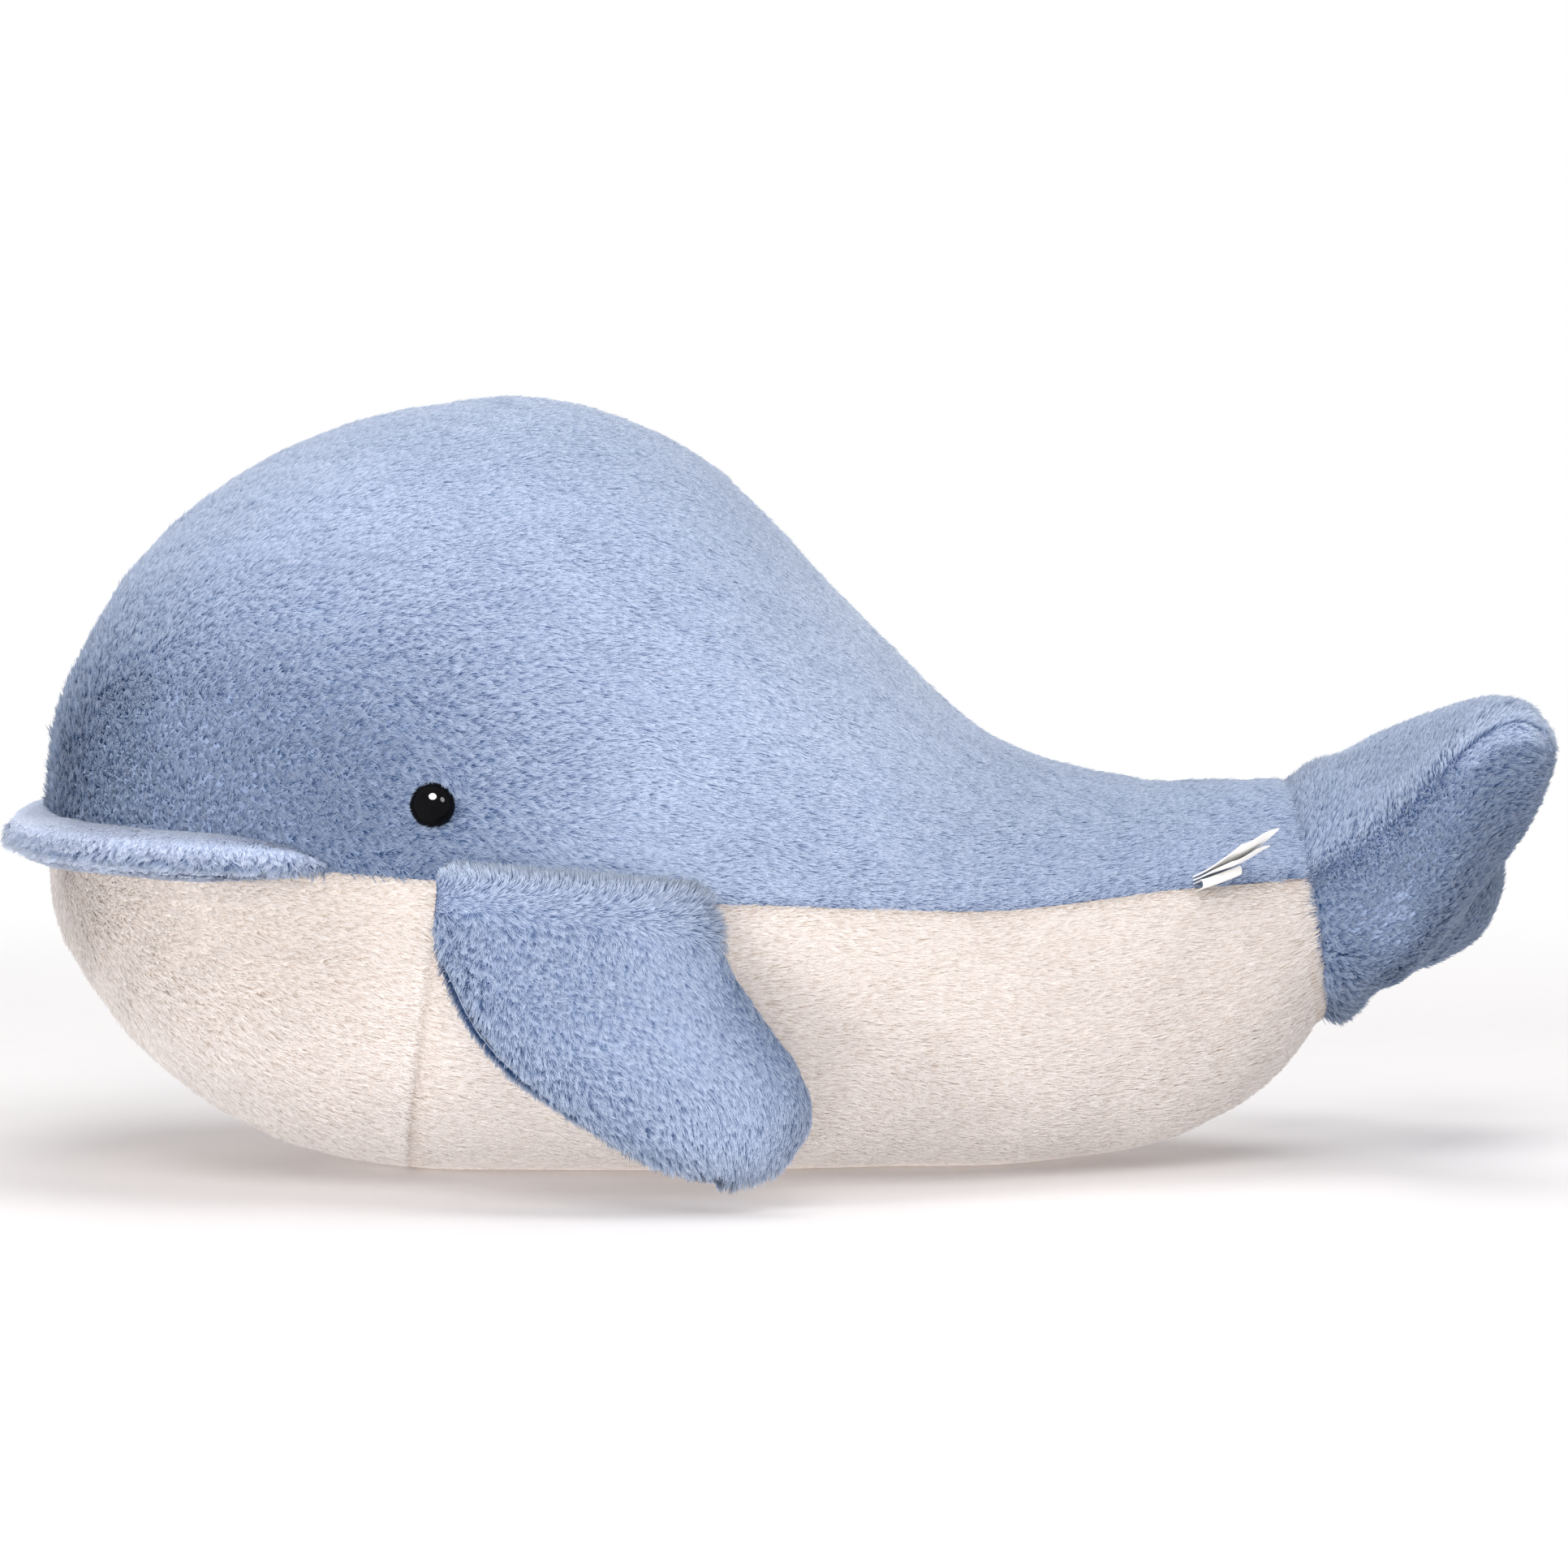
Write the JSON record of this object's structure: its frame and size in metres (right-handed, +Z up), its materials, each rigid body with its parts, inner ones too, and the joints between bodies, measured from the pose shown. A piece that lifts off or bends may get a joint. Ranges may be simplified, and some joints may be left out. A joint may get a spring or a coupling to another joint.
{
  "type": "plush whale",
  "caption": "Stuffed toy whale with a domed head, a padded lip, two hinged side fins and flexing tail flukes, sewn from short-pile fabric panels.",
  "frame": {"origin": "centre of the bounding box in plan, on the floor that the whale rests on", "axes": "+X from the head to the flukes, -Y to the whale's left side, +Z up"},
  "size_m": [0.5916, 0.3398, 0.2954],
  "materials": {
    "blue_fabric": "short dense pile with a brushed nap",
    "light_blue_fabric": "short dense pile, brushed smooth",
    "cream_fabric": "short dense pile with a brushed nap",
    "stuffing": "loose polyester fibre",
    "black_plastic": "polished",
    "white_plastic": "as moulded",
    "label_satin": "smooth woven satin"
  },
  "bodies": {
    "body": {"body_filling": "stuffing", "back_panel_left": "blue_fabric", "back_panel_right": "blue_fabric", "chin_panel": "cream_fabric", "belly_panel": "cream_fabric", "lip_upper_panel": "light_blue_fabric", "lip_lower_panel": "blue_fabric", "lip_filling": "stuffing", "eye_left": "black_plastic", "eye_right": "black_plastic", "eye_washer_left": "white_plastic", "eye_washer_right": "white_plastic", "label_long_leaf": "label_satin", "label_short_leaf": "label_satin", "label_folded_loop": "label_satin"},
    "fin_left": {"fin_left_outer_panel": "blue_fabric", "fin_left_inner_panel": "blue_fabric", "fin_left_filling": "stuffing"},
    "fin_right": {"fin_right_outer_panel": "blue_fabric", "fin_right_inner_panel": "blue_fabric", "fin_right_filling": "stuffing"},
    "flukes": {"fluke_top_panel": "blue_fabric", "fluke_bottom_panel": "blue_fabric", "fluke_filling": "stuffing"}
  },
  "joints": [
    {"name": "fin_left_swing", "type": "hinge", "parent": "body", "child": "fin_left", "pos_m": [-0.07342, -0.14514, 0.11585], "axis": [-0.9962, -0.027, 0.0833], "range_deg": [0, 65]},
    {"name": "fin_right_swing", "type": "hinge", "parent": "body", "child": "fin_right", "pos_m": [-0.07342, 0.14514, 0.11585], "axis": [0.9962, -0.027, -0.0833], "range_deg": [0, 65]},
    {"name": "tail_flex", "type": "hinge", "parent": "body", "child": "flukes", "pos_m": [0.2058, 0, 0.0995], "axis": [0, -1, 0], "range_deg": [-10, 10], "stiffness_Nm_per_rad": 1.2, "springref_deg": 1.15}
  ]
}
